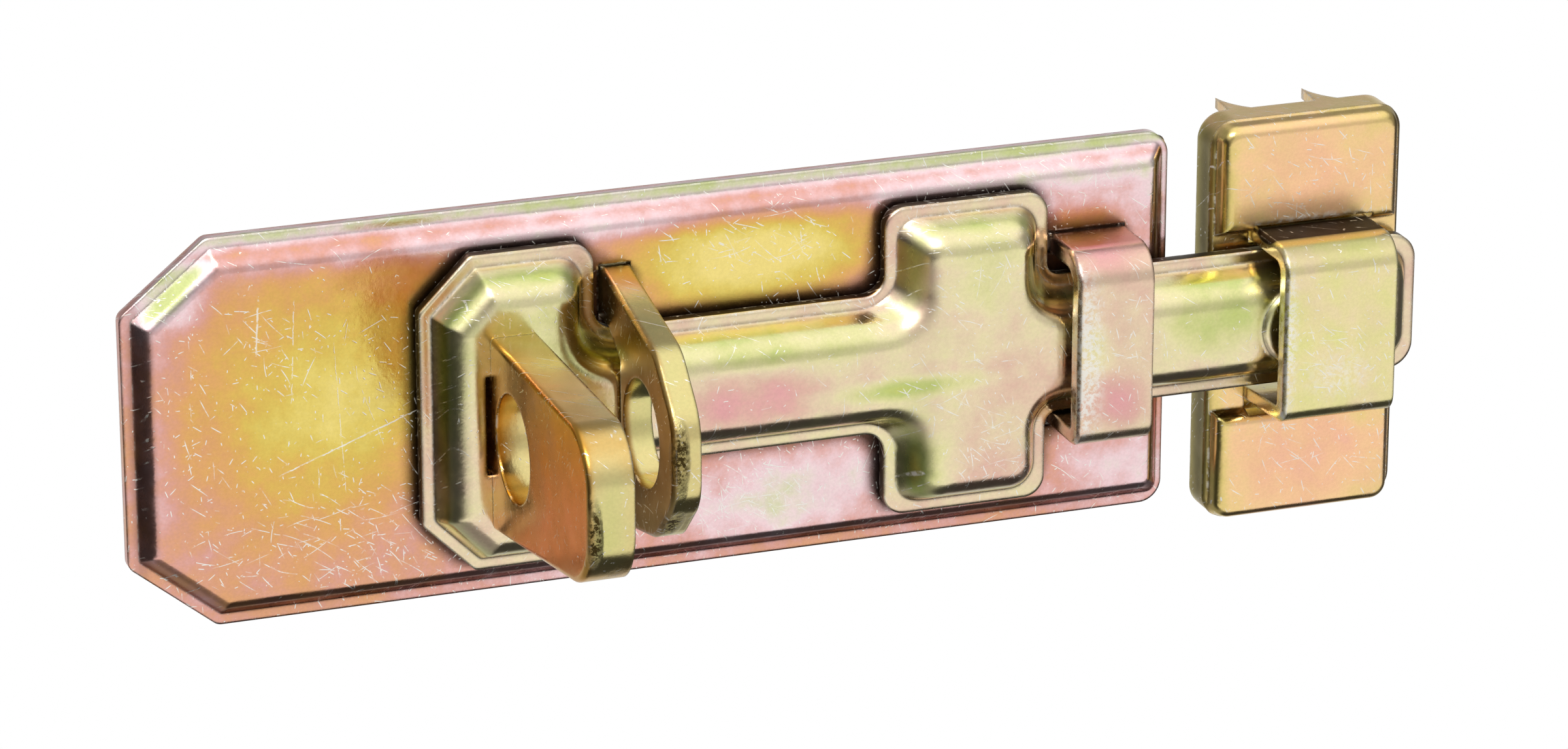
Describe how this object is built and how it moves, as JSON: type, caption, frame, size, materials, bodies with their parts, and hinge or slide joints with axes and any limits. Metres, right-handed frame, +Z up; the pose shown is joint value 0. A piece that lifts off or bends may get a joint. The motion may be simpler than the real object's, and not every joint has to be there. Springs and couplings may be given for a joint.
{
  "type": "padbolt",
  "caption": "Pressed steel padbolt with yellow chromate plating: a sliding bolt with a padlock lug on a base plate, and a separate spiked keeper",
  "frame": {"origin": "centre of the base plate's four screw holes, on the back of its raised panel, 1.8 mm out from the door face", "axes": "+X along the bolt towards the keeper, +Y into the door, +Z up the door"},
  "size_m": [0.149, 0.0484, 0.0474],
  "materials": {
    "plate_steel": "yellow chromate over zinc plating, glossy, with iridescent patches",
    "bolt_steel": "yellow chromate over zinc plating, glossy, with iridescent patches",
    "strap_steel": "yellow chromate over zinc plating, glossy, with iridescent patches",
    "lug_steel": "yellow chromate over zinc plating, glossy, with iridescent patches",
    "cover_steel": "yellow chromate over zinc plating, glossy, with iridescent patches"
  },
  "bodies": {
    "base": {"base_plate": "plate_steel", "fixed_lug": "lug_steel", "guide_strap": "strap_steel", "keeper_strap": "strap_steel", "keeper_cover": "cover_steel"},
    "bolt": {"bolt_slide": "bolt_steel", "bolt_lug": "lug_steel"}
  },
  "joints": [
    {"name": "bolt_travel", "type": "slide", "parent": "base", "child": "bolt", "axis": [-1, 0, 0], "range_m": [0, 0.0275]}
  ]
}
